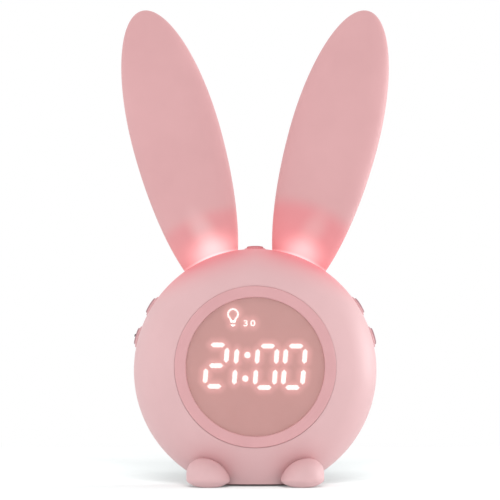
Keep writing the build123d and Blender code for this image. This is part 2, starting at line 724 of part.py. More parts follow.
BOARD_SCREW = (BOARD_SCREW_LENGTH, BOARD_SCREW_RADIUS, BOARD_SCREW_HEAD_RADIUS, BOARD_SCREW_HEAD_HEIGHT)
CASE_SCREW = (SCREW_LENGTH, SCREW_RADIUS, SCREW_HEAD_RADIUS, SCREW_HEAD_HEIGHT)

with BuildPart() as display_board_screws:
    add(screws(window_facing(DISPLAY_BOARD_BACK_Y), DISPLAY_HOLES, -1, *BOARD_SCREW))
save(display_board_screws.part, "display_board_screws")

with BuildPart() as case_screws:
    add(screws(facing(SCREW_SEAT), POST_PLACES, -1, *CASE_SCREW))
save(case_screws.part, "case_screws")


def round_form(radius):
    """Solid cylinder about the axis of the case."""
    with BuildPart() as form:
        with BuildSketch(facing(0)):
            Circle(radius)
        extrude(amount=BODY_RADIUS, both=True)
    return form.part


def ear_form(inset):
    """Ear turned from two half ellipses and flattened, along Z from its foot point."""
    half_width = EAR_HALF_WIDTH - inset
    centre = (0, EAR_WIDEST)
    with BuildPart() as form:
        with BuildSketch(Plane.XZ):
            with BuildLine():
                EllipticalCenterArc(centre, half_width, EAR_ROOT_LENGTH - inset, -90, arc_size=90)
                EllipticalCenterArc(centre, half_width, EAR_TIP_LENGTH - inset, 0, arc_size=90)
                Line((0, EAR_WIDEST - EAR_ROOT_LENGTH + inset), (0, EAR_WIDEST + EAR_TIP_LENGTH - inset))
            make_face()
        revolve(axis=Axis.Z)
        scale(by=(1, (EAR_HALF_DEPTH - inset) / half_width, 1))
    return form.part


# Ears: hollow silicone lamps that seat on the band, with a neck through the rear shell and a
# flange under it. The hollow opens downwards to the lamp board
with BuildPart() as ear_flange:
    with BuildSketch(ear_plane(1, LAMP_BOARD_TOP)):
        Ellipse(EAR_FLANGE_HALF_WIDTH, EAR_FLANGE_HALF_DEPTH)
    extrude(amount=EAR_SEAT)
    add(round_form(INNER_RADIUS - SOFT_FIT), mode=Mode.INTERSECT)

with BuildPart() as ear_hollow:
    add(ear_form(EAR_WALL).moved(ear_plane(1, 0).location))
    add(round_form(BODY_RADIUS + EAR_WALL), mode=Mode.SUBTRACT)

with BuildPart() as right_ear:
    add(ear_form(0).moved(ear_plane(1, 0).location))
    add(round_form(BODY_RADIUS + SOFT_FIT), mode=Mode.SUBTRACT)
    with BuildSketch(ear_plane(1, LAMP_BOARD_TOP)):
        Ellipse(EAR_NECK_HALF_WIDTH, EAR_NECK_HALF_DEPTH)
    extrude(amount=EAR_SEAT - LAMP_BOARD_TOP + EAR_WALL)
    add(ear_flange.part)
    add(ear_hollow.part, mode=Mode.SUBTRACT)
    with BuildSketch(ear_plane(1, LAMP_BOARD_TOP)):
        Ellipse(EAR_NECK_HALF_WIDTH - EAR_NECK_WALL, EAR_NECK_HALF_DEPTH - EAR_NECK_WALL)
    extrude(amount=EAR_SEAT - LAMP_BOARD_TOP + 2 * EAR_WALL, mode=Mode.SUBTRACT)
save(right_ear.part, "right_ear")

with BuildPart() as left_ear:
    mirror(right_ear.part, about=Plane.YZ)
save(left_ear.part, "left_ear")


# Lamp boards under the roots of the ears, each with two lamps that shine up the hollow
def lamp_board(side):
    """Board square to the axis of one ear, held by one screw on a boss behind the ear."""
    middle = (BOARD_FRONT_Y + BOARD_BACK_Y) / 2
    with BuildPart() as board:
        with BuildSketch(ear_plane(side, LAMP_BOARD_TOP, 0)):
            with Locations((0, middle)):
                Rectangle(2 * EAR_FLANGE_HALF_WIDTH, BOARD_BACK_Y - BOARD_FRONT_Y)
            with Locations((0, BOARD_BOSS_Y)):
                Circle(BOARD_SCREW_RADIUS + PORT_FIT, mode=Mode.SUBTRACT)
        extrude(amount=-BOARD_THICKNESS)
    return board.part


for name, side in (("left", -1), ("right", 1)):
    save(lamp_board(side), f"{name}_lamp_board")

with BuildPart() as lamp_leds:
    for side in (-1, 1):
        with BuildSketch(ear_plane(side, LAMP_BOARD_TOP)):
            with Locations((-LED_HALF_PITCH, 0), (LED_HALF_PITCH, 0)):
                Rectangle(LED_LENGTH, LED_WIDTH)
        extrude(amount=LED_HEIGHT)
save(lamp_leds.part, "lamp_leds")

with BuildPart() as lamp_board_screws:
    for side in (-1, 1):
        seat = ear_plane(side, LAMP_BOARD_TOP - BOARD_THICKNESS, BOARD_BOSS_Y)
        add(screws(seat, [(0, 0)], -1, *BOARD_SCREW))
save(lamp_board_screws.part, "lamp_board_screws")


# Push buttons: stepped caps that follow the round of the case, each with a flange that stops it
# under the wall and a stem that rests on the plunger of its switch
def key_disc(key, radius, proud):
    """Round cap along a button's travel, ending a height above the case, with its rim rounded."""
    plane = key_plane(key, key_seat(KEYS[key][1]))
    with BuildPart() as disc:
        with BuildSketch(plane):
            Circle(radius)
        extrude(amount=BODY_RADIUS)
        add(round_form(BODY_RADIUS + proud), mode=Mode.INTERSECT)
        fillet(disc.edges().sort_by(Axis(plane.origin, plane.z_dir))[-1], KEY_EDGE)
    return disc.part


def key_button(key):
    """One button with its cap, flange and stem."""
    plane = key_plane(key, key_seat(KEYS[key][1]))
    with BuildPart() as button:
        add(key_disc(key, KEY_RADIUS, KEY_PROUD))
        add(key_disc(key, KEY_PAD_RADIUS, KEY_PROUD + KEY_PAD_PROUD))
        with BuildSketch(plane):
            Circle(KEY_FLANGE_RADIUS)
        extrude(amount=-KEY_FLANGE)
        with BuildSketch(plane.offset(-KEY_FLANGE)):
            Circle(KEY_STEM_RADIUS)
        extrude(amount=-KEY_STEM)
    return button.part


def key_plunger(key):
    """Plunger between a button's stem and its switch."""
    with BuildPart() as plunger:
        with BuildSketch(key_plane(key, key_seat(KEYS[key][1]) - KEY_FLANGE - KEY_STEM)):
            Circle(PLUNGER_RADIUS)
        extrude(amount=-PLUNGER_EXPOSED - PLUNGER_INSIDE)
    return plunger.part


def switch_housing(key):
    """Square switch body on its board, with the bore that its plunger slides in."""
    plane = key_plane(key, key_board_top(KEYS[key][1]))
    with BuildPart() as housing:
        with BuildSketch(plane):
            Rectangle(SWITCH_SIDE, SWITCH_SIDE)
        extrude(amount=SWITCH_HEIGHT)
        with BuildSketch(plane.offset(SWITCH_HEIGHT)):
            Circle(PLUNGER_RADIUS + FIT)
        extrude(amount=-(PLUNGER_INSIDE + KEY_TRAVEL + PORT_FIT), mode=Mode.SUBTRACT)
    return housing.part


for key in KEYS:
    save(key_button(key), f"{key}_button")
    save(key_plunger(key), f"{key}_plunger")

with BuildPart() as switch_housings:
    for key in KEYS:
        add(switch_housing(key))
save(switch_housings.part, "switch_housings")


# Key boards: one under each row of buttons, screwed to bosses behind the row
def key_board(row):
    """Board square to the travel of a row of buttons."""
    angle, across, half, bosses = KEY_ROWS[row]
    middle = (BOARD_FRONT_Y + BOARD_BACK_Y) / 2
    with BuildPart() as board:
        with BuildSketch(radial_plane(angle, key_board_top(across))):
            with Locations((0, middle)):
                Rectangle(2 * half, BOARD_BACK_Y - BOARD_FRONT_Y)
            with Locations(*[(place, BOARD_BOSS_Y) for place in bosses]):
                Circle(BOARD_SCREW_RADIUS + PORT_FIT, mode=Mode.SUBTRACT)
        extrude(amount=-BOARD_THICKNESS)
    return board.part


for row in KEY_ROWS:
    save(key_board(row), f"{row}_key_board")

with BuildPart() as key_board_screws:
    for angle, across, half, bosses in KEY_ROWS.values():
        places = [(place, BOARD_BOSS_Y) for place in bosses]
        add(screws(radial_plane(angle, key_board_top(across) - BOARD_THICKNESS), places, -1, *BOARD_SCREW))
save(key_board_screws.part, "key_board_screws")


# Feet: soft rounded feet that go straight down from their widest line and round off to a small
# flat on the table, shaped to the dome behind them, each with a peg into it
PEG_END_Y = front_face(hypot(FOOT_X, BODY_CENTRE_Z - PEG_HEIGHT), WALL) + PEG_REACH
FOOT_CENTRE = (FOOT_X, FOOT_DEPTH - FOOT_FRONT, FOOT_HEIGHT)
FOOT_PLACE = Location(FOOT_CENTRE, (0, -FOOT_ROLL, 0))
SOLE_PLACE = Location((FOOT_X, FOOT_DEPTH - FOOT_FRONT, SOLE_HEIGHT))
ROLL_SIN, ROLL_COS = sin(radians(FOOT_ROLL)), cos(radians(FOOT_ROLL))
FOOT_WIDEST = Plane(
    origin=FOOT_CENTRE,
    z_dir=(
        ROLL_SIN * ROLL_COS * (1 / FOOT_LONG**2 - 1 / FOOT_SHORT**2),
        0,
        (ROLL_SIN / FOOT_LONG) ** 2 + (ROLL_COS / FOOT_SHORT) ** 2,
    ),
)

with BuildPart() as foot_form:
    Sphere(1)
    scale(by=(FOOT_LONG, FOOT_DEPTH, FOOT_SHORT))

with BuildPart() as sole_form:
    Sphere(1)
    scale(by=(SOLE_LONG, SOLE_DEPTH, SOLE_DROP))

with BuildPart() as right_foot:
    add(foot_form.part.moved(FOOT_PLACE))
    split(bisect_by=FOOT_WIDEST, keep=Keep.TOP)
    extrude(right_foot.faces().filter_by(FOOT_WIDEST)[0], amount=FOOT_DEPTH, dir=(0, 0, -1))
    add(sole_form.part.moved(SOLE_PLACE), mode=Mode.INTERSECT)
    split(bisect_by=Plane.XY, keep=Keep.TOP)
    add(case_form(-1, -SOFT_FIT, BASE_GAP - SOFT_FIT), mode=Mode.SUBTRACT)
    with BuildSketch(facing(PEG_END_Y)):
        with Locations((FOOT_X, PEG_HEIGHT - BODY_CENTRE_Z)):
            Circle(PEG_RADIUS)
    extrude(amount=PEG_LENGTH)
save(right_foot.part, "right_foot")

with BuildPart() as left_foot:
    mirror(right_foot.part, about=Plane.YZ)
save(left_foot.part, "left_foot")


# Pad: thin anti-slip pad in a recess under the rear shell
with BuildPart() as base_pad:
    with BuildSketch(Plane.XY):
        with Locations((0, PAD_Y)):
            RectangleRounded(PAD_LENGTH, PAD_WIDTH, PAD_CORNER)
    extrude(amount=BASE_GAP + PAD_RECESS)
save(base_pad.part, "base_pad")


# Speaker: pressed frame, magnet with its pole, cone with a dust cap, and a foam ring
SPEAKER_INNER = SPEAKER_RADIUS - SPEAKER_RIM
with BuildPart() as speaker_frame:
    with BuildSketch(BODY_SECTION):
        with BuildLine():
            Polyline(
                (SPEAKER_RADIUS, SPEAKER_RIM_Y),
                (SPEAKER_INNER, SPEAKER_RIM_Y),
                (SPEAKER_PLATE_RADIUS - SPEAKER_SHEET, SPEAKER_BACK_Y),
                (VOICE_HOLE_RADIUS, SPEAKER_BACK_Y),
                (VOICE_HOLE_RADIUS, SPEAKER_BACK_Y - SPEAKER_SHEET),
                (SPEAKER_PLATE_RADIUS, SPEAKER_BACK_Y - SPEAKER_SHEET),
                (SPEAKER_INNER, SPEAKER_RIM_Y - SPEAKER_SHEET),
                (SPEAKER_RADIUS, SPEAKER_RIM_Y - SPEAKER_SHEET),
                close=True,
            )
        make_face()
    revolve(axis=BODY_AXIS)
save(speaker_frame.part, "speaker_frame")

with BuildPart() as speaker_magnet:
    with BuildSketch(facing(SPEAKER_BACK_Y - SPEAKER_SHEET)):
        Circle(MAGNET_RADIUS)
    extrude(amount=MAGNET_HEIGHT)
    with BuildSketch(facing(SPEAKER_BACK_Y - SPEAKER_SHEET)):
        Circle(POLE_RADIUS)
    extrude(amount=-POLE_HEIGHT)
save(speaker_magnet.part, "speaker_magnet")

CONE_FOOT_Y = SPEAKER_RIM_Y - CONE_DEPTH
with BuildPart() as speaker_cone:
    with BuildSketch(BODY_SECTION):
        with BuildLine():
            Polyline(
                (0, CONE_FOOT_Y + DUST_CAP_RISE),
                (DUST_CAP_RADIUS, CONE_FOOT_Y),
                (SPEAKER_INNER - FIT, SPEAKER_RIM_Y),
                (SPEAKER_RADIUS, SPEAKER_RIM_Y),
                (SPEAKER_RADIUS, SPEAKER_RIM_Y + CONE_SHEET),
                (SPEAKER_INNER - FIT, SPEAKER_RIM_Y + CONE_SHEET),
                (DUST_CAP_RADIUS, CONE_FOOT_Y + CONE_SHEET),
                (0, CONE_FOOT_Y + DUST_CAP_RISE + CONE_SHEET),
                close=True,
            )
        make_face()
    revolve(axis=BODY_AXIS)
save(speaker_cone.part, "speaker_cone")

with BuildPart() as speaker_gasket:
    with BuildSketch(facing(SPEAKER_SEAT_Y)):
        Circle(SPEAKER_RADIUS)
        Circle(SPEAKER_INNER, mode=Mode.SUBTRACT)
    extrude(amount=GASKET_THICKNESS)
save(speaker_gasket.part, "speaker_gasket")


# Battery: round cell that lies across the base in its two clips
with BuildPart() as battery_cell:
    with BuildSketch(Plane.YZ.offset(-BATTERY_LENGTH / 2)):
        with Locations((BATTERY_Y, BATTERY_Z)):
            Circle(BATTERY_RADIUS)
    extrude(amount=BATTERY_LENGTH)
    with BuildSketch(Plane.YZ.offset(BATTERY_LENGTH / 2)):
        with Locations((BATTERY_Y, BATTERY_Z)):
            Circle(BATTERY_CAP_RADIUS)
    extrude(amount=BATTERY_CAP_HEIGHT)
save(battery_cell.part, "battery_cell")


# Power board with the charging socket that looks out through the rear shell
with BuildPart() as power_board:
    with BuildSketch(Plane.XY.offset(POWER_BOARD_Z)):
        with Locations((0, (POWER_BOARD_FRONT_Y + POWER_BOARD_BACK_Y) / 2)):
            Rectangle(2 * POWER_BOARD_HALF_LENGTH, POWER_BOARD_DEPTH)
        with Locations(*POWER_HOLES):
            Circle(BOARD_SCREW_RADIUS + PORT_FIT, mode=Mode.SUBTRACT)
    extrude(amount=BOARD_THICKNESS)
save(power_board.part, "power_board")

with BuildPart() as power_board_screws:
    add(screws(Plane.XY.offset(POWER_BOARD_Z + BOARD_THICKNESS), POWER_HOLES, 1, *BOARD_SCREW))
save(power_board_screws.part, "power_board_screws")

USB_PLACE = (0, USB_Z - BODY_CENTRE_Z)
with BuildPart() as usb_socket:
    with BuildSketch(facing(USB_FACE_Y)):
        with Locations(USB_PLACE):
            SlotOverall(USB_WIDTH, USB_HEIGHT)
    extrude(amount=USB_LENGTH)
    with BuildSketch(facing(USB_FACE_Y)):
        with Locations(USB_PLACE):
            SlotOverall(USB_WIDTH - 2 * USB_SHEET, USB_HEIGHT - 2 * USB_SHEET)
    extrude(amount=USB_LENGTH - USB_SHEET, mode=Mode.SUBTRACT)
    with BuildSketch(facing(USB_FACE_Y - USB_LENGTH)):
        with Locations(USB_PLACE):
            Rectangle(USB_TONGUE_WIDTH, USB_TONGUE_HEIGHT)
    extrude(amount=-USB_TONGUE_LENGTH)
save(usb_socket.part, "usb_socket")


# Inner leads: each runs from its board or cell to its plug on the display board
def lead(points):
    """Round lead along straight runs joined by arcs as large as the runs allow."""
    corners = [Vector(*point) for point in points]
    radii = []
    for before, corner, after in zip(corners, corners[1:], corners[2:]):
        arriving, leaving = corner - before, after - corner
        half_turn = radians(arriving.get_angle(leaving)) / 2
        radii.append(LEAD_ARC_SHARE * min(arriving.length, leaving.length) / tan(half_turn))
    with BuildPart() as wire:
        with BuildLine() as path:
            FilletPolyline(*corners, radius=radii)
        with BuildSketch(Plane(origin=path.line @ 0, z_dir=path.line % 0)):
            Circle(LEAD_RADIUS)
        sweep()
    section = pi * LEAD_RADIUS**2
    print("lead radii", [round(radius, 1) for radius in radii], "volume over section times length",
          round(wire.part.volume / (section * path.wires()[0].length), 4))
    return wire.part


def plug_end(name):
    """Middle of the top of a plug on the display board."""
    x, z = PLUG_PLACES[name]
    return (x, PLUG_TOP_Y, BODY_CENTRE_Z + WINDOW_RISE + z)


def plug_lead(start, direction, plug):
    """Points of a lead that leaves square to its start and meets its plug square."""
    begin, end = Vector(*start), Vector(*plug_end(plug))
    leave = begin + Vector(*direction).normalized() * LEAD_STRAIGHT
    arrive = end + Vector(0, LEAD_STRAIGHT, 0)
    return [begin, leave, Vector(*LEAD_BENDS[plug]), arrive, end]


BATTERY_END = (BATTERY_LENGTH / 2 + BATTERY_CAP_HEIGHT, BATTERY_Y, BATTERY_Z)
SPEAKER_TERMINAL_RADIUS = (MAGNET_RADIUS + SPEAKER_PLATE_RADIUS) / 2
SPEAKER_TERMINAL = (
    -SPEAKER_TERMINAL_RADIUS * cos(radians(TERMINAL_ANGLE)),
    SPEAKER_BACK_Y - SPEAKER_SHEET,
    BODY_CENTRE_Z - SPEAKER_TERMINAL_RADIUS * sin(radians(TERMINAL_ANGLE)),
)
LAMP_PAD = ear_plane(1, LAMP_BOARD_TOP - BOARD_THICKNESS)
RIGHT_KEY_PAD = radial_plane(SIDE_KEY_ANGLE, key_board_top(SIDE_KEY_HALF_PITCH) - BOARD_THICKNESS, 0, ROW_Y)
TOP_KEY_PAD = radial_plane(90, key_board_top(0) - BOARD_THICKNESS, 0, ROW_Y)
POWER_PAD = (0, POWER_BOARD_FRONT_Y, POWER_BOARD_Z + BOARD_THICKNESS / 2)

LEAD_ROUTES = {
    "battery_lead": plug_lead(BATTERY_END, (1, 0, 0), "battery"),
    "speaker_lead": plug_lead(SPEAKER_TERMINAL, (0, -1, 0), "speaker"),
    "right_lamp_lead": plug_lead(LAMP_PAD.origin, -LAMP_PAD.z_dir, "right_lamp"),
    "right_key_lead": plug_lead(RIGHT_KEY_PAD.origin, -RIGHT_KEY_PAD.z_dir, "right_key"),
    "top_key_lead": plug_lead(TOP_KEY_PAD.origin, -TOP_KEY_PAD.z_dir, "top_key"),
    "power_lead": plug_lead(POWER_PAD, (0, -1, 0), "power"),
}
for name, route in LEAD_ROUTES.items():
    wire = lead(route)
    save(wire, name)
    if name.startswith("right"):
        with BuildPart() as left_wire:
            mirror(wire, about=Plane.YZ)
        save(left_wire.part, name.replace("right", "left"))
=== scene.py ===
import math

import bmesh
import bpy
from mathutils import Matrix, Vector
from mathutils.bvhtree import BVHTree


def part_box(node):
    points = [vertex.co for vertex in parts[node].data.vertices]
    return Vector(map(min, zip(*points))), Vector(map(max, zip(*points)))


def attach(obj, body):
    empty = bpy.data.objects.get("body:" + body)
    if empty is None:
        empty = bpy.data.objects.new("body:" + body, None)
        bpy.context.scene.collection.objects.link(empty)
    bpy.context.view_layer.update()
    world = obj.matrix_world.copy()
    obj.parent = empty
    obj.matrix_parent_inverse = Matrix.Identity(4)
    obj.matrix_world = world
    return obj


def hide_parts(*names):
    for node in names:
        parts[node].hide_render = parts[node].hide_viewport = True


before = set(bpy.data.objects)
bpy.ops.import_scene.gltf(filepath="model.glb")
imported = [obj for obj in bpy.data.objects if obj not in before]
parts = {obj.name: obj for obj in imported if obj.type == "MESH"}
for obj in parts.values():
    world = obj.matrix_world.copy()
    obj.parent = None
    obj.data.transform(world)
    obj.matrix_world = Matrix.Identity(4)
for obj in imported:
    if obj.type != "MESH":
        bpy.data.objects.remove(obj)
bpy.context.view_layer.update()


# Case: two moulded halves in a soft-touch pink plastic, which part just behind the dome and are
# screwed together from the back. The finish has a very fine grain and faint cloudy patches. Near the
# roots of the ears the crest of both halves has a painted glow of the ear lamps and painted shade: a
# redder, darker colour and a faint emission.
PATCH_EDGES, PATCH_DETAIL = (0.35, 0.65), 3.0
GRAIN_DETAIL, GRAIN_STRENGTH = 2.0, 0.25
ROUGHNESS_SPREAD = 0.06


def shade(red, green, blue):
    """Linear colour of a display colour given from 0 to 255."""
    return tuple(((level / 255 + 0.055) / 1.055) ** 2.4 for level in (red, green, blue)) + (1.0,)


def feed(owner, socket, source):
    """Link an output to a socket, or set the socket to a plain value."""
    if isinstance(source, bpy.types.NodeSocket):
        owner.node_tree.links.new(source, socket)
    else:
        socket.default_value = source


def combine(owner, operation, first, second):
    """Output of an operation on two outputs or numbers."""
    worked = owner.node_tree.nodes.new("ShaderNodeMath")
    worked.operation = operation
    feed(owner, worked.inputs[0], first)
    feed(owner, worked.inputs[1], second)
    return worked.outputs["Value"]


def fade(owner, value, near, far, inner, outer, curve="LINEAR"):
    """Output that goes from an inner to an outer level while a value goes from near to far."""
    ramp = owner.node_tree.nodes.new("ShaderNodeMapRange")
    ramp.interpolation_type = curve
    ramp.inputs["From Min"].default_value = near
    ramp.inputs["From Max"].default_value = far
    ramp.inputs["To Min"].default_value = inner
    ramp.inputs["To Max"].default_value = outer
    feed(owner, ramp.inputs["Value"], value)
    return ramp.outputs["Result"]


def blend(owner, mask, under, over):
    """Output that goes from one colour to another as a mask goes from 0 to 1."""
    layer = owner.node_tree.nodes.new("ShaderNodeMix")
    layer.data_type = "RGBA"
    feed(owner, layer.inputs["Factor"], mask)
    feed(owner, layer.inputs["A"], under)
    feed(owner, layer.inputs["B"], over)
    return layer.outputs["Result"]


def length(owner, vector):
    """Output of the length of a vector."""
    measure = owner.node_tree.nodes.new("ShaderNodeVectorMath")
    measure.operation = "LENGTH"
    feed(owner, measure.inputs[0], vector)
    return measure.outputs["Value"]


def finish(name, low, high, patch, rough, grain, relief, metallic=0.0):
    """Finish with its colour in soft patches, and its roughness and relief in a finer grain."""
    made = bpy.data.materials.new(name)
    made.use_nodes = True
    nodes, links = made.node_tree.nodes, made.node_tree.links
    surface = nodes["Principled BSDF"]
    surface.inputs["Metallic"].default_value = metallic
    place = nodes.new("ShaderNodeTexCoord")

    cloud = nodes.new("ShaderNodeTexNoise")
    cloud.inputs["Scale"].default_value = 1 / patch
    cloud.inputs["Detail"].default_value = PATCH_DETAIL
    tint = nodes.new("ShaderNodeValToRGB")
    for stop, edge, colour in zip(tint.color_ramp.elements, PATCH_EDGES, (low, high)):
        stop.position = edge
        stop.color = colour
    links.new(place.outputs["Object"], cloud.inputs["Vector"])
    links.new(cloud.outputs["Fac"], tint.inputs["Fac"])
    links.new(tint.outputs["Color"], surface.inputs["Base Color"])

    fine = nodes.new("ShaderNodeTexNoise")
    fine.inputs["Scale"].default_value = 1 / grain
    fine.inputs["Detail"].default_value = GRAIN_DETAIL
    links.new(place.outputs["Object"], fine.inputs["Vector"])
    spread = fade(made, fine.outputs["Fac"], 0.0, 1.0, rough - ROUGHNESS_SPREAD, rough + ROUGHNESS_SPREAD)
    links.new(spread, surface.inputs["Roughness"])
    bump = nodes.new("ShaderNodeBump")
    bump.inputs["Strength"].default_value = GRAIN_STRENGTH
    bump.inputs["Distance"].default_value = relief
    links.new(fine.outputs["Fac"], bump.inputs["Height"])
    links.new(bump.outputs["Normal"], surface.inputs["Normal"])
    return made


def glow_mask(made, middle, turn, radii, core):
    """Output that falls from 1 to 0 in a turned oval, from a share of its radii outwards.
    The oval is given on the right of the clock and has a mirrored one on the left."""
    nodes, links = made.node_tree.nodes, made.node_tree.links
    place = nodes.new("ShaderNodeTexCoord")
    split = nodes.new("ShaderNodeSeparateXYZ")
    mirror = nodes.new("ShaderNodeMath")
    mirror.operation = "ABSOLUTE"
    joined = nodes.new("ShaderNodeCombineXYZ")
    local = nodes.new("ShaderNodeMapping")
    local.vector_type = "TEXTURE"
    local.inputs["Location"].default_value = middle
    local.inputs["Rotation"].default_value = (0, turn, 0)
    local.inputs["Scale"].default_value = radii
    links.new(place.outputs["Object"], split.inputs["Vector"])
    links.new(split.outputs["X"], mirror.inputs[0])
    links.new(mirror.outputs["Value"], joined.inputs["X"])
    links.new(split.outputs["Y"], joined.inputs["Y"])
    links.new(split.outputs["Z"], joined.inputs["Z"])
    links.new(joined.outputs["Vector"], local.inputs["Vector"])
    return fade(made, length(made, local.outputs["Vector"]), core, 1.0, 1.0, 0.0, "SMOOTHERSTEP")


def scaled(made, mask, amount):
    """A mask times a number."""
    return combine(made, "MULTIPLY", mask, amount)


def tint_over(made, mask, colour):
    """Lay a colour over a finish's own where a mask says so."""
    base = made.node_tree.nodes["Principled BSDF"].inputs["Base Color"]
    feed(made, base, blend(made, mask, base.links[0].from_socket, colour))


def light_up(made, colour, strength):
    """Let a finish shine by itself."""
    surface = made.node_tree.nodes["Principled BSDF"]
    feed(made, surface.inputs["Emission Color"], colour)
    feed(made, surface.inputs["Emission Strength"], strength)


def coat(piece, *finishes):
    """Give a piece its finishes and no others."""
    piece.data.materials.clear()
    for made in finishes:
        piece.data.materials.append(made)


def dress(made, *names):
    """Give CAD nodes a finish."""
    for name in names:
        coat(parts[name], made)


CASE_LOW, CASE_HIGH = shade(221, 178, 180), shade(225, 182, 184)
BAND_RADIUS = 0.053
BODY_MIDDLE = Vector((0.0, 0.0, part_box("rear_shell")[1].z - BAND_RADIUS))
EAR_ROOT = BODY_MIDDLE + Vector((0.0200, 0.0078, 0.0491))
CREST_RADII, CREST_CORE = (0.064, 0.0385, 0.034), 0.16
CREST_PAINTED_GLOW_AND_SHADE = shade(230, 130, 138)
CREST_PAINTED_LIGHT, CREST_PAINTED_LIGHT_STRENGTH = shade(255, 60, 66), 0.08
case_plastic = finish("soft_touch_pink", CASE_LOW, CASE_HIGH,
                      patch=0.030, rough=0.48, grain=0.00035, relief=0.00002)
# Painted glow and painted shade on the crest near the ear roots: a redder, darker colour and a faint emission
painted_crest_glow = glow_mask(case_plastic, EAR_ROOT, 0.0, CREST_RADII, CREST_CORE)
tint_over(case_plastic, painted_crest_glow, CREST_PAINTED_GLOW_AND_SHADE)
light_up(case_plastic, CREST_PAINTED_LIGHT, scaled(case_plastic, painted_crest_glow, CREST_PAINTED_LIGHT_STRENGTH))
dress(case_plastic, "front_shell", "rear_shell")


# Bezel: slim satin ring in a deeper pink, moulded with a fine grain. It is pressed into the seat of
# the front half and keeps the lens behind its lip.
bezel_plastic = finish("bezel_pink", shade(216, 160, 163), shade(220, 164, 167),
                       patch=0.020, rough=0.42, grain=0.00030, relief=0.00001)
dress(bezel_plastic, "bezel_ring")


# Display: an opaque mask with one well for each bar, and clear bars that the lamps on the board
# light from behind. The lamp sign and the figures of the timer are small lit windows of the same
# kind, flat on the mask, and everything is seen through the tinted lens.
BAR_LIGHT, BAR_STRENGTH = (1.0, 0.96, 0.93, 1.0), 1.40
mask_plastic = finish("mask_mauve", shade(201, 152, 148), shade(205, 156, 152),
                      patch=0.012, rough=0.60, grain=0.00040, relief=0.00001)
dress(mask_plastic, "light_mask")
lit_bar = finish("lit_bar", shade(255, 246, 240), shade(255, 250, 246),
                 patch=0.002, rough=0.35, grain=0.00030, relief=0.00001)
light_up(lit_bar, BAR_LIGHT, BAR_STRENGTH)
dress(lit_bar, "segment_bars")

mask_low, mask_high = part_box("light_mask")
MASK_MIDDLE_Z = (mask_low.z + mask_high.z) / 2
SIGN_DEPTH, SIGN_CORNER = 0.00004, 0.3
SIGN_FACE = mask_low.y - SIGN_DEPTH


def begin():
    """Deselect everything before a new piece is made."""
    bpy.ops.object.select_all(action="DESELECT")


def choose(*pieces):
    """Select these pieces alone, with the first one active."""
    begin()
    for piece in pieces:
        piece.select_set(True)
    bpy.context.view_layer.objects.active = pieces[0]


def settle(piece, name):
    """Name a finished piece and put its place into its mesh."""
    piece.name = name
    choose(piece)
    bpy.ops.object.transform_apply(location=True, rotation=True, scale=True)
    return piece


def pick(piece, kind, test):
    """Select the vertices, edges or faces of a piece in edit mode by a test on each."""
    mesh = bmesh.from_edit_mesh(piece.data)
    for group in (mesh.verts, mesh.edges, mesh.faces):
        for item in group:
            item.select_set(False)
    mesh.select_mode = {kind}
    for item in {"VERT": mesh.verts, "EDGE": mesh.edges, "FACE": mesh.faces}[kind]:
        if test(item):
            item.select_set(True)
    mesh.select_flush_mode()
    bmesh.update_edit_mesh(piece.data)


def depth_of(edge):
    """How far an edge runs from front to back."""
    return abs((edge.verts[0].co - edge.verts[1].co).y)


def on_rim(edge):
    """Whether an edge borders a face with more than four corners, as at the end of a cylinder."""
    return any(len(face.verts) > 4 for face in edge.link_faces)


def sign_place(x, z):
    """Point on the mask's face, across and up from its middle."""
    return (x, SIGN_FACE, MASK_MIDDLE_Z + z)


def sign_block(x, z, width, height, turn=0.0):
    """Small flat window of the sign, with rounded corners."""
    begin()
    bpy.ops.mesh.primitive_cube_add(size=1, location=sign_place(x, z), rotation=(0, turn, 0),
                                    scale=(width, SIGN_DEPTH, height))
    block = bpy.context.object
    bpy.ops.object.transform_apply(location=False, rotation=False, scale=True)
    bpy.ops.object.mode_set(mode="EDIT")
    pick(block, "EDGE", lambda edge: depth_of(edge) > SIGN_DEPTH / 2)
    bpy.ops.mesh.bevel(offset=SIGN_CORNER * min(width, height), segments=4)
    bpy.ops.object.mode_set(mode="OBJECT")
    return block


# The lamp sign is a round outline, open below, with two strokes down to a neck and a foot of two blocks
LAMP_X, LAMP_Z = -0.00950, 0.02240
LAMP_RADIUS, LAMP_STROKE = 0.00252, 0.00078
LAMP_OPENING = 0.62 * LAMP_RADIUS
STROKE_X, STROKE_FALL = 0.00113, 0.00215
STROKE_LENGTH, STROKE_LEAN = 0.0019, math.radians(27)
NECK_AND_FOOT = ((0.00315, 0.00230, 0.00110), (0.00462, 0.00205, 0.00055), (0.00502, 0.00115, 0.00045))
begin()
bpy.ops.mesh.primitive_circle_add(vertices=64, radius=LAMP_RADIUS, fill_type="NGON",
                                  location=sign_place(LAMP_X, LAMP_Z), rotation=(math.pi / 2, 0, 0))
lamp_round = bpy.context.object
bpy.ops.object.mode_set(mode="EDIT")
bpy.ops.mesh.select_all(action="SELECT")
bpy.ops.mesh.inset(thickness=LAMP_STROKE, depth=0)
bpy.ops.mesh.delete(type="FACE")
bpy.ops.mesh.select_all(action="SELECT")
bpy.ops.mesh.bisect(plane_co=sign_place(LAMP_X, LAMP_Z - LAMP_OPENING), plane_no=(0, 0, 1), clear_inner=True)
bpy.ops.mesh.select_all(action="SELECT")
bpy.ops.mesh.solidify(thickness=SIGN_DEPTH)
bpy.ops.object.mode_set(mode="OBJECT")
lamp_bits = [lamp_round]
for side in (-1, 1):
    lamp_bits.append(sign_block(LAMP_X + side * STROKE_X, LAMP_Z - STROKE_FALL,
                                LAMP_STROKE, STROKE_LENGTH, side * STROKE_LEAN))
for fall, width, height in NECK_AND_FOOT:
    lamp_bits.append(sign_block(LAMP_X, LAMP_Z - fall, width, height))

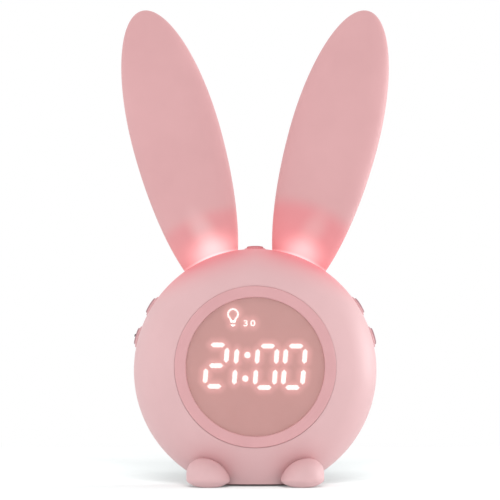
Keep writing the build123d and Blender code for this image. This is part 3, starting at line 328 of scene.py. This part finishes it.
# The figures of the timer stand beside it
FIGURES = (("3", -0.00407), ("0", -0.00106))
FIGURE_Z, FIGURE_SIZE = 0.0184, 0.0036
FIGURE_BREADTH, FIGURE_WEIGHT = 1.2, 0.00009
for figure, x in FIGURES:
    begin()
    bpy.ops.object.text_add(location=sign_place(x, FIGURE_Z), rotation=(math.pi / 2, 0, 0))
    text = bpy.context.object
    text.data.body = figure
    text.data.align_x = "CENTER"
    text.data.align_y = "CENTER"
    text.data.size = FIGURE_SIZE
    text.scale.x = FIGURE_BREADTH
    text.data.offset = FIGURE_WEIGHT
    text.data.extrude = SIGN_DEPTH / 2
    bpy.ops.object.convert(target="MESH")
    lamp_bits.append(bpy.context.object)

choose(*lamp_bits)
bpy.ops.object.join()
lamp_sign = settle(lamp_round, "lamp_sign")
coat(lamp_sign, lit_bar)
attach(lamp_sign, "clock_body")


# Lens: a clear disc behind the lip of the bezel, with a tinted face in which the light of the bars
# spreads. How much light each point of the face gets from the nearest lit window is kept with the
# mesh.
lens_low, lens_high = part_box("display_lens")
LENS_RADIUS = (lens_high.x - lens_low.x) / 2
LENS_THICKNESS = lens_high.y - lens_low.y
LENS_EDGE, LENS_RINGS = 0.00015, 84
SAME_DEPTH = 1e-7
FLAT_FRONT, FRONT_HALF = -0.99, -0.5
FACE_ALPHA, REST_ALPHA = 0.6, 0.04
HALO_REACH = 0.0031
HALO_LIGHT, HALO_STRENGTH = (1.0, 0.51, 0.51, 1.0), 0.20
begin()
bpy.ops.mesh.primitive_cylinder_add(vertices=320, radius=LENS_RADIUS, depth=LENS_THICKNESS,
                                    location=(lens_low + lens_high) / 2, rotation=(math.pi / 2, 0, 0))
lens = settle(bpy.context.object, "tinted_lens")
bpy.ops.object.mode_set(mode="EDIT")
pick(lens, "EDGE", lambda edge: depth_of(edge) < SAME_DEPTH)
bpy.ops.mesh.bevel(offset=LENS_EDGE, segments=2)
pick(lens, "FACE", lambda face: face.normal.y < FLAT_FRONT)
for ring in range(LENS_RINGS):
    bpy.ops.mesh.inset(thickness=LENS_RADIUS / (LENS_RINGS + 1))
bpy.ops.object.mode_set(mode="OBJECT")
bpy.ops.object.shade_smooth_by_angle(angle=math.radians(35))

windows = []
for lit in (parts["segment_bars"], lamp_sign):
    corners = [vertex.co.copy() for vertex in lit.data.vertices]
    windows.append(BVHTree.FromPolygons(corners, [tuple(face.vertices) for face in lit.data.polygons]))
halo = lens.data.attributes.new("halo", "FLOAT", "POINT")
for vertex in lens.data.vertices:
    behind = Vector((vertex.co.x, SIGN_FACE, vertex.co.z))
    gap = min(window.find_nearest(behind)[3] for window in windows)
    dark = min(1.0, gap / HALO_REACH)
    halo.data[vertex.index].value = 1 - dark * dark * (3 - 2 * dark)

lens_plastic = finish("lens_mauve", shade(223, 167, 162), shade(226, 170, 165),
                      patch=0.015, rough=0.38, grain=0.00050, relief=0.000005)
lens_plastic.node_tree.nodes["Principled BSDF"].inputs["Alpha"].default_value = FACE_ALPHA
spread_light = lens_plastic.node_tree.nodes.new("ShaderNodeAttribute")
spread_light.attribute_name = "halo"
light_up(lens_plastic, HALO_LIGHT, scaled(lens_plastic, spread_light.outputs["Fac"], HALO_STRENGTH))
lens_clear = finish("lens_clear", shade(238, 226, 224), shade(242, 230, 228),
                    patch=0.015, rough=0.20, grain=0.00050, relief=0.000005)
lens_clear.node_tree.nodes["Principled BSDF"].inputs["Alpha"].default_value = REST_ALPHA
coat(lens, lens_plastic, lens_clear)
for face in lens.data.polygons:
    face.material_index = 0 if face.normal.y < FRONT_HALF else 1
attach(lens, "clock_body")
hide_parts("display_lens")


# Boards: green glass-fibre boards for the display, the lamps, the switches and the power, with black
# chips, plugs and switch housings on them. Small steel screws hold the boards to bosses in the case,
# and four longer ones hold its halves together.
board_green = finish("board_green", shade(22, 82, 46), shade(34, 104, 58),
                     patch=0.004, rough=0.35, grain=0.0006, relief=0.00003)
dress(board_green, "display_board", "left_lamp_board", "right_lamp_board", "left_key_board",
      "right_key_board", "top_key_board", "power_board")
chip_black = finish("chip_black", shade(24, 24, 26), shade(34, 34, 36),
                    patch=0.006, rough=0.55, grain=0.0003, relief=0.00001)
dress(chip_black, "board_components", "switch_housings")
screw_steel = finish("screw_steel", shade(168, 168, 172), shade(186, 186, 190),
                     patch=0.003, rough=0.32, grain=0.0002, relief=0.000008, metallic=1.0)
dress(screw_steel, "display_board_screws", "lamp_board_screws", "key_board_screws", "power_board_screws",
      "case_screws")


# Ears: hollow lamps moulded in pink silicone. Each sits on the crest of the case and is held by its
# neck and the flange under the wall. The glow of the lamps on the board below is painted on its root.
snooze_low, snooze_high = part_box("snooze_button")
ROW_Y = (snooze_low.y + snooze_high.y) / 2
EAR_TILT = math.radians(15.37)
EAR_CLEARANCE = 0.00003
EAR_HALF_WIDTH, EAR_HALF_DEPTH = 0.0200 - EAR_CLEARANCE, 0.0082 - EAR_CLEARANCE
EAR_TIP, EAR_FOOT = 0.0603 - EAR_CLEARANCE, 0.0725
EAR_OFFSET, EAR_RISE = 0.00632, 0.0553
EAR_SEAT = math.sqrt(BAND_RADIUS**2 - EAR_OFFSET**2)
EQUATOR = 1e-6
CUTTER_LENGTH = 0.1
NECK_START, NECK_END = 0.0450, 0.0545
NECK_HALF_WIDTH, NECK_HALF_DEPTH = 0.0095, 0.0039
FLANGE_HALF_WIDTH, FLANGE_HALF_DEPTH, FLANGE_THICKNESS = 0.0110, 0.0053, 0.0024
DISC_EDGE = 0.0003

# The painted light of the lamps: a redder, darker painted glow and shade with a dim painted light in it,
# a painted hot spot at the seat, a pale painted streak of light up from the spot, and a painted line of light
# along the seat
CREST_FALL = math.radians(22)
PAINTED_ROOT_GLOW_MIDDLE = EAR_ROOT + Vector((0.0, -0.005, 0.004))
PAINTED_ROOT_GLOW_BREADTH, PAINTED_ROOT_GLOW_CORE = 0.040, 0.55
EMBER_SHARE, EMBER_CORE, EMBER_STRENGTH = 0.66, 0.10, 0.08
EMBER_LIGHT, HOT_LIGHT = shade(255, 130, 134), shade(255, 246, 247)
HOT_Y, HOT_RISE, HOT_BREADTH = -0.006, 0.0018, 1.25
SPOT_DEPTH = 0.030
PAINTED_STREAK_OFFSET, PAINTED_STREAK_LEAN = Vector((0.0047, 0.0, 0.0102)), math.radians(32)
PAINTED_STREAK_RADII, PAINTED_STREAK_LIGHT = (0.0082, SPOT_DEPTH, 0.0165), shade(236, 190, 191)
LEAK_START, LEAK_END = BAND_RADIUS + 0.0005, BAND_RADIUS + 0.0015
LEAK_PAINTED_LIGHT, LEAK_COVER, LEAK_STRENGTH = shade(246, 196, 198), 0.8, 0.12
SHEEN_WEIGHT, SHEEN_ROUGHNESS, SHEEN_TINT = 0.2, 0.35, shade(255, 214, 215)


def seat_mask(made, near, far, inner, outer):
    """Output that goes from one level to another between two distances from the axis of the case."""
    nodes, links = made.node_tree.nodes, made.node_tree.links
    place = nodes.new("ShaderNodeTexCoord")
    flat = nodes.new("ShaderNodeMapping")
    flat.inputs["Location"].default_value = -BODY_MIDDLE
    flat.inputs["Scale"].default_value = (1, 0, 1)
    links.new(place.outputs["Object"], flat.inputs["Vector"])
    return fade(made, length(made, flat.outputs["Vector"]), near, far, inner, outer)


def ear_silicone(name, reach, painted_root_glow_and_shade, heat, spot, aside, painted_streak_share):
    """Silicone with a painted glow and painted shade from the lamps at its root up to a reach, with a painted
    hot spot of a given strength, size and place, a pale painted streak of light, and painted light that leaks
    out along the seat."""
    made = finish(name, shade(217, 163, 165), shade(221, 167, 169),
                  patch=0.026, rough=0.55, grain=0.0005, relief=0.00001)
    surface = made.node_tree.nodes["Principled BSDF"]
    surface.inputs["Sheen Weight"].default_value = SHEEN_WEIGHT
    surface.inputs["Sheen Roughness"].default_value = SHEEN_ROUGHNESS
    surface.inputs["Sheen Tint"].default_value = SHEEN_TINT

    hot_middle = EAR_ROOT + Vector((aside, HOT_Y, HOT_RISE))
    painted_root_glow_radii = Vector((PAINTED_ROOT_GLOW_BREADTH, PAINTED_ROOT_GLOW_BREADTH, reach))
    ember_radii = Vector((PAINTED_ROOT_GLOW_BREADTH, PAINTED_ROOT_GLOW_BREADTH, EMBER_SHARE * reach))
    painted_root_glow_mask = glow_mask(made, PAINTED_ROOT_GLOW_MIDDLE, CREST_FALL, painted_root_glow_radii, PAINTED_ROOT_GLOW_CORE)
    ember = glow_mask(made, PAINTED_ROOT_GLOW_MIDDLE, CREST_FALL, ember_radii, EMBER_CORE)
    hot = glow_mask(made, hot_middle, CREST_FALL, (HOT_BREADTH * spot, SPOT_DEPTH, spot), 0.0)
    painted_light_streak = glow_mask(made, hot_middle + PAINTED_STREAK_OFFSET, PAINTED_STREAK_LEAN, PAINTED_STREAK_RADII, 0.0)
    leak = seat_mask(made, LEAK_START, LEAK_END, 1.0, 0.0)
    # Painted glow and painted shade of the lamps at the root: redder and darker up to a reach
    tint_over(made, painted_root_glow_mask, painted_root_glow_and_shade)
    # Painted light: a pale streak up from the hot spot
    tint_over(made, scaled(made, painted_light_streak, painted_streak_share), PAINTED_STREAK_LIGHT)
    # Painted light: a pale line along the seat, where the lamp light leaks out
    tint_over(made, scaled(made, leak, LEAK_COVER), LEAK_PAINTED_LIGHT)

    # Painted glow given off by the silicone itself: a dim light, the hot spot and the light along the seat
    inside = combine(made, "ADD", scaled(made, ember, EMBER_STRENGTH), scaled(made, hot, heat))
    strength = combine(made, "ADD", inside, scaled(made, leak, LEAK_STRENGTH))
    light_up(made, blend(made, hot, EMBER_LIGHT, HOT_LIGHT), strength)
    return made


def ear_place(side, along):
    """Point on the axis of one ear, at a length from beside the middle of the case."""
    outward = Vector((side * math.sin(EAR_TILT), 0, math.cos(EAR_TILT)))
    across = Vector((side * math.cos(EAR_TILT), 0, -math.sin(EAR_TILT)))
    return BODY_MIDDLE + outward * along + across * EAR_OFFSET + Vector((0, ROW_Y, 0))


def ear_disc(side, low, high, half_width, half_depth):
    """Oval disc about the axis of one ear, with rounded edges."""
    begin()
    bpy.ops.mesh.primitive_cylinder_add(vertices=96, radius=1, depth=1,
                                        location=ear_place(side, (low + high) / 2),
                                        rotation=(0, side * EAR_TILT, 0),
                                        scale=(half_width, half_depth, high - low))
    disc = settle(bpy.context.object, "ear_disc")
    bpy.ops.object.mode_set(mode="EDIT")
    pick(disc, "EDGE", on_rim)
    bpy.ops.mesh.bevel(offset=DISC_EDGE, segments=3)
    bpy.ops.object.mode_set(mode="OBJECT")
    return disc


for side, name, reach, painted_root_glow_and_shade, heat, spot, aside, painted_streak_share in (
    (-1, "left_ear", 0.0195, shade(227, 153, 156), 0.42, 0.0148, -0.0018, 0.75),
    (1, "right_ear", 0.0250, shade(229, 145, 149), 0.33, 0.0132, 0.0006, 0.40),
):
    begin()
    bpy.ops.mesh.primitive_uv_sphere_add(segments=128, ring_count=96, radius=1.0)
    ear = bpy.context.object
    bpy.ops.object.mode_set(mode="EDIT")
    pick(ear, "VERT", lambda vertex: vertex.co.z > EQUATOR)
    bpy.ops.transform.resize(value=(1, 1, EAR_TIP), center_override=(0, 0, 0))
    pick(ear, "VERT", lambda vertex: vertex.co.z < -EQUATOR)
    bpy.ops.transform.resize(value=(1, 1, EAR_FOOT), center_override=(0, 0, 0))
    bpy.ops.mesh.select_all(action="SELECT")
    bpy.ops.transform.resize(value=(EAR_HALF_WIDTH, EAR_HALF_DEPTH, 1), center_override=(0, 0, 0))
    bpy.ops.object.mode_set(mode="OBJECT")
    ear.rotation_euler = (0, side * EAR_TILT, 0)
    ear.location = ear_place(side, EAR_SEAT + EAR_RISE)
    settle(ear, name + "_lamp")

    begin()
    bpy.ops.mesh.primitive_cylinder_add(vertices=384, radius=BAND_RADIUS + EAR_CLEARANCE, depth=CUTTER_LENGTH,
                                        location=BODY_MIDDLE, rotation=(math.pi / 2, 0, 0))
    band = bpy.context.object
    cut = ear.modifiers.new("seat", "BOOLEAN")
    cut.operation = "DIFFERENCE"
    cut.solver = "EXACT"
    cut.object = band
    choose(ear)
    bpy.ops.object.modifier_apply(modifier="seat")
    bpy.data.objects.remove(band)

    neck = ear_disc(side, NECK_START, NECK_END, NECK_HALF_WIDTH, NECK_HALF_DEPTH)
    flange = ear_disc(side, NECK_START, NECK_START + FLANGE_THICKNESS, FLANGE_HALF_WIDTH, FLANGE_HALF_DEPTH)
    choose(ear, neck, flange)
    bpy.ops.object.join()
    bpy.ops.object.shade_smooth_by_angle(angle=math.radians(40))
    coat(ear, ear_silicone(name + "_silicone", reach, painted_root_glow_and_shade, heat, spot, aside, painted_streak_share))
    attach(ear, "clock_body")
    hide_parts(name)


# Lamps: small white chips, soldered in pairs to the boards under the ears. They shine up into the
# ears with a warm light.
CHIP_LIGHT, CHIP_STRENGTH = (1.0, 0.86, 0.80, 1.0), 1.0
lamp_white = finish("lamp_white", shade(250, 240, 225), shade(255, 248, 238),
                    patch=0.002, rough=0.40, grain=0.0003, relief=0.00001)
light_up(lamp_white, CHIP_LIGHT, CHIP_STRENGTH)
dress(lamp_white, "lamp_leds")


# Buttons: stepped pink caps with a darker pad, which travel straight in on white plungers. On the side
# keys the darker pad is painted shade. The lower left one has a small dark pip to feel for.
KEYS = ("snooze", "upper_left", "lower_left", "upper_right", "lower_right")
CAP_PROUD, PAD_PROUD = 0.0010, 0.0018
STEP_START, STEP_END = BAND_RADIUS + CAP_PROUD + 0.0001, BAND_RADIUS + CAP_PROUD + 0.0003
plunger_white = finish("plunger_white", shade(228, 228, 222), shade(238, 238, 233),
                       patch=0.004, rough=0.50, grain=0.0003, relief=0.00001)
dress(plunger_white, *[key + "_plunger" for key in KEYS])


def key_plastic(name, low, high, pad):
    """Pink plastic of a button, with a darker colour on the raised pad."""
    made = finish(name, low, high, patch=0.008, rough=0.45, grain=0.0003, relief=0.00001)
    tint_over(made, seat_mask(made, STEP_START, STEP_END, 0.0, 1.0), pad)
    return made


# On the side keys the darker pad is painted shade
side_key_pink = key_plastic("side_key_pink", shade(220, 170, 173), shade(225, 176, 178),
                            pad=shade(180, 138, 144))
snooze_pink = key_plastic("snooze_pink", shade(226, 142, 149), shade(230, 148, 154),
                          pad=shade(204, 124, 130))
dress(snooze_pink, "snooze_button")
dress(side_key_pink, *[key + "_button" for key in KEYS[1:]])

PIP_RADIUS, PIP_HEIGHT, PIP_SINK, PIP_EDGE = 0.00060, 0.00070, 0.00010, 0.00010
ROW_ANGLE, ROW_HALF_PITCH = math.radians(156), 0.0074
PAD_RADIUS = BAND_RADIUS + PAD_PROUD
PIP_ANGLE = ROW_ANGLE + math.asin(ROW_HALF_PITCH / PAD_RADIUS)
pip_outward = Vector((math.cos(PIP_ANGLE), 0, math.sin(PIP_ANGLE)))
pad_middle = BODY_MIDDLE + pip_outward * PAD_RADIUS + Vector((0, ROW_Y, 0))
begin()
bpy.ops.mesh.primitive_cylinder_add(vertices=32, radius=PIP_RADIUS, depth=PIP_HEIGHT,
                                    location=pad_middle + pip_outward * (PIP_HEIGHT / 2 - PIP_SINK),
                                    rotation=pip_outward.to_track_quat("Z", "Y").to_euler())
pip = settle(bpy.context.object, "button_pip")
bpy.ops.object.mode_set(mode="EDIT")
pick(pip, "EDGE", on_rim)
bpy.ops.mesh.bevel(offset=PIP_EDGE, segments=3)
bpy.ops.object.mode_set(mode="OBJECT")
bpy.ops.object.shade_smooth_by_angle(angle=math.radians(40))
coat(pip, finish("pip_black", shade(44, 34, 37), shade(54, 42, 45),
                 patch=0.001, rough=0.45, grain=0.0002, relief=0.00001))
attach(pip, "lower_left_key")


# Feet and pad: two soft silicone feet in front, plugged into the dome, and an anti-slip pad under the
# rear half. Like all moulded rubber they have no crisp edge.
def soft_skin(node, voxel, rounds, made):
    """Soft piece in the form of a CAD node, with its edges rounded."""
    piece = bpy.data.objects.new(node + "_skin", parts[node].data.copy())
    bpy.context.collection.objects.link(piece)
    choose(piece)
    bpy.ops.object.mode_set(mode="EDIT")
    bpy.ops.mesh.select_all(action="SELECT")
    bpy.ops.mesh.remove_doubles(threshold=1e-6)
    bpy.ops.object.mode_set(mode="OBJECT")
    skin = piece.modifiers.new("skin", "REMESH")
    skin.mode = "VOXEL"
    skin.voxel_size = voxel
    bpy.ops.object.modifier_apply(modifier="skin")
    ease = piece.modifiers.new("ease", "SMOOTH")
    ease.factor = 0.5
    ease.iterations = rounds
    bpy.ops.object.modifier_apply(modifier="ease")
    bpy.ops.object.shade_smooth()
    coat(piece, made)
    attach(piece, "clock_body")
    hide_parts(node)


foot_silicone = finish("foot_silicone", CASE_LOW, CASE_HIGH,
                       patch=0.012, rough=0.52, grain=0.0005, relief=0.00001)
pad_rubber = finish("pad_rubber", shade(204, 158, 161), shade(211, 165, 168),
                    patch=0.006, rough=0.80, grain=0.0008, relief=0.00008)
for node in ("left_foot", "right_foot"):
    soft_skin(node, voxel=0.00045, rounds=20, made=foot_silicone)
soft_skin("base_pad", voxel=0.00020, rounds=4, made=pad_rubber)


# Speaker: a painted frame and magnet with a satin cone, behind the holes in the back. A foam ring
# seals the frame against the rear half.
speaker_black = finish("speaker_black", shade(30, 30, 32), shade(42, 42, 44),
                       patch=0.008, rough=0.40, grain=0.0004, relief=0.00001)
cone_film = finish("cone_film", shade(36, 36, 40), shade(50, 50, 54),
                   patch=0.010, rough=0.45, grain=0.0008, relief=0.00004)
foam_black = finish("foam_black", shade(26, 26, 26), shade(40, 40, 40),
                    patch=0.002, rough=0.90, grain=0.0006, relief=0.0002)
dress(speaker_black, "speaker_frame", "speaker_magnet")
dress(cone_film, "speaker_cone")
soft_skin("speaker_gasket", voxel=0.00020, rounds=4, made=foam_black)


# Power: a round cell in a shrunk sleeve, held in two clips in the base, and a steel charging socket in
# the back. Red sleeved leads run from the cell, the speaker and the boards to the display board.
cell_wrap = finish("cell_wrap", shade(74, 132, 172), shade(88, 146, 186),
                   patch=0.020, rough=0.30, grain=0.0010, relief=0.00002)
socket_steel = finish("socket_steel", shade(186, 186, 188), shade(202, 202, 204),
                      patch=0.004, rough=0.28, grain=0.0002, relief=0.000006, metallic=1.0)
lead_red = finish("lead_red", shade(178, 38, 32), shade(196, 48, 40),
                  patch=0.006, rough=0.40, grain=0.0004, relief=0.00001)
dress(cell_wrap, "battery_cell")
dress(socket_steel, "usb_socket")
dress(lead_red, "battery_lead", "speaker_lead", "right_lamp_lead", "left_lamp_lead", "right_key_lead",
      "left_key_lead", "top_key_lead", "power_lead")


# Studio: a paper floor that keeps the clock's shadow and fades to plain white away from it, in a white
# surround. A broad soft lamp stands in front and above and a narrower one at either side. A far lamp
# lights the floor alone, so that the shadow lies behind the clock on both sides.
PAPER_COLOUR, PAPER_ROUGHNESS, PAPER_SHINE = (0.535, 0.555, 0.555, 1.0), 0.9, 0.1
WHITE_START, WHITE_END = 0.35, 1.20
LEAST_WHITE = 0.12
begin()
bpy.ops.mesh.primitive_plane_add(size=8)
floor = bpy.context.object
floor.name = "studio_floor"
paper = bpy.data.materials.new("white_paper")
paper.use_nodes = True
paper_nodes, paper_links = paper.node_tree.nodes, paper.node_tree.links
paper_surface = paper_nodes["Principled BSDF"]
paper_surface.inputs["Base Color"].default_value = PAPER_COLOUR
paper_surface.inputs["Roughness"].default_value = PAPER_ROUGHNESS
paper_surface.inputs["Specular IOR Level"].default_value = PAPER_SHINE

# The camera sees plain white in a share that grows away from the clock. To all other rays the paper is
# a little darker than its colour
seen = paper_nodes.new("ShaderNodeLightPath").outputs["Is Camera Ray"]
away = length(paper, paper_nodes.new("ShaderNodeTexCoord").outputs["Object"])
whiter = combine(paper, "MULTIPLY", seen, fade(paper, away, WHITE_START, WHITE_END, 0.0, 1.0))
plain_white = paper_nodes.new("ShaderNodeEmission")
paper_mix = paper_nodes.new("ShaderNodeMixShader")
paper_links.new(seen, plain_white.inputs["Strength"])
paper_links.new(combine(paper, "MAXIMUM", whiter, LEAST_WHITE), paper_mix.inputs["Fac"])
paper_links.new(paper_surface.outputs["BSDF"], paper_mix.inputs[1])
paper_links.new(plain_white.outputs["Emission"], paper_mix.inputs[2])
paper_links.new(paper_mix.outputs["Shader"], paper_nodes["Material Output"].inputs["Surface"])
floor.data.materials.append(paper)

SURROUND_LIGHT = 0.95
world = bpy.data.worlds.new("studio")
bpy.context.scene.world = world
world.use_nodes = True
surround = world.node_tree.nodes["Background"]
surround.inputs["Color"].default_value = (1.0, 1.0, 1.0, 1.0)
path = world.node_tree.nodes.new("ShaderNodeLightPath")
direct = combine(world, "MAXIMUM", path.outputs["Is Camera Ray"], path.outputs["Is Transmission Ray"])
shown = combine(world, "MAXIMUM", direct, path.outputs["Is Glossy Ray"])
feed(world, surround.inputs["Strength"], fade(world, shown, 0.0, 1.0, SURROUND_LIGHT, 1.0))


def facing(place, aim):
    """Turn of a lamp or a camera at a place that looks at a point."""
    return (Vector(aim) - Vector(place)).to_track_quat("-Z", "Y").to_euler()


def softbox(name, place, aim, size, power):
    """Square area lamp that faces a point."""
    begin()
    bpy.ops.object.light_add(type="AREA", location=place)
    lamp = bpy.context.object
    lamp.name = name
    lamp.data.size = size
    lamp.data.energy = power
    lamp.rotation_euler = facing(place, aim)


softbox("front_softbox", place=(-0.05, -1.10, 0.32), aim=(0, 0, 0.09), size=0.9, power=0.8)
softbox("right_strip", place=(0.80, 0.28, 0.17), aim=(0, 0, 0.07), size=0.4, power=2.8)
softbox("left_strip", place=(-0.80, -0.05, 0.04), aim=(0, 0, 0.04), size=0.4, power=0.7)

FLOOR_LAMP_PLACE = (0.012, -1.0, 0.25)
begin()
bpy.ops.object.light_add(type="SUN", location=FLOOR_LAMP_PLACE)
floor_lamp = bpy.context.object
floor_lamp.name = "floor_lamp"
floor_lamp.data.energy = 11.7
floor_lamp.data.angle = math.radians(18)
floor_lamp.rotation_euler = facing(FLOOR_LAMP_PLACE, (0, 0, 0))
lit_floor = bpy.data.collections.new("lit_floor")
lit_floor.objects.link(floor)
floor_lamp.light_linking.receiver_collection = lit_floor


# Camera: low and nearly level, about 0.9 m in front of the clock, turned up to its middle, with a
# long lens.
EYE = Vector((-0.00225, -0.900, 0.0300))
LOOK = Vector((-0.00225, 0.007, 0.10346))
begin()
bpy.ops.object.camera_add(location=EYE)
camera = bpy.context.object
camera.rotation_euler = facing(EYE, LOOK)
camera.data.lens = 148.0
camera.data.sensor_width = 36.0
camera.data.clip_start = 0.01
camera.data.clip_end = 50.0
bpy.context.scene.camera = camera
bpy.context.scene.view_settings.view_transform = "Standard"
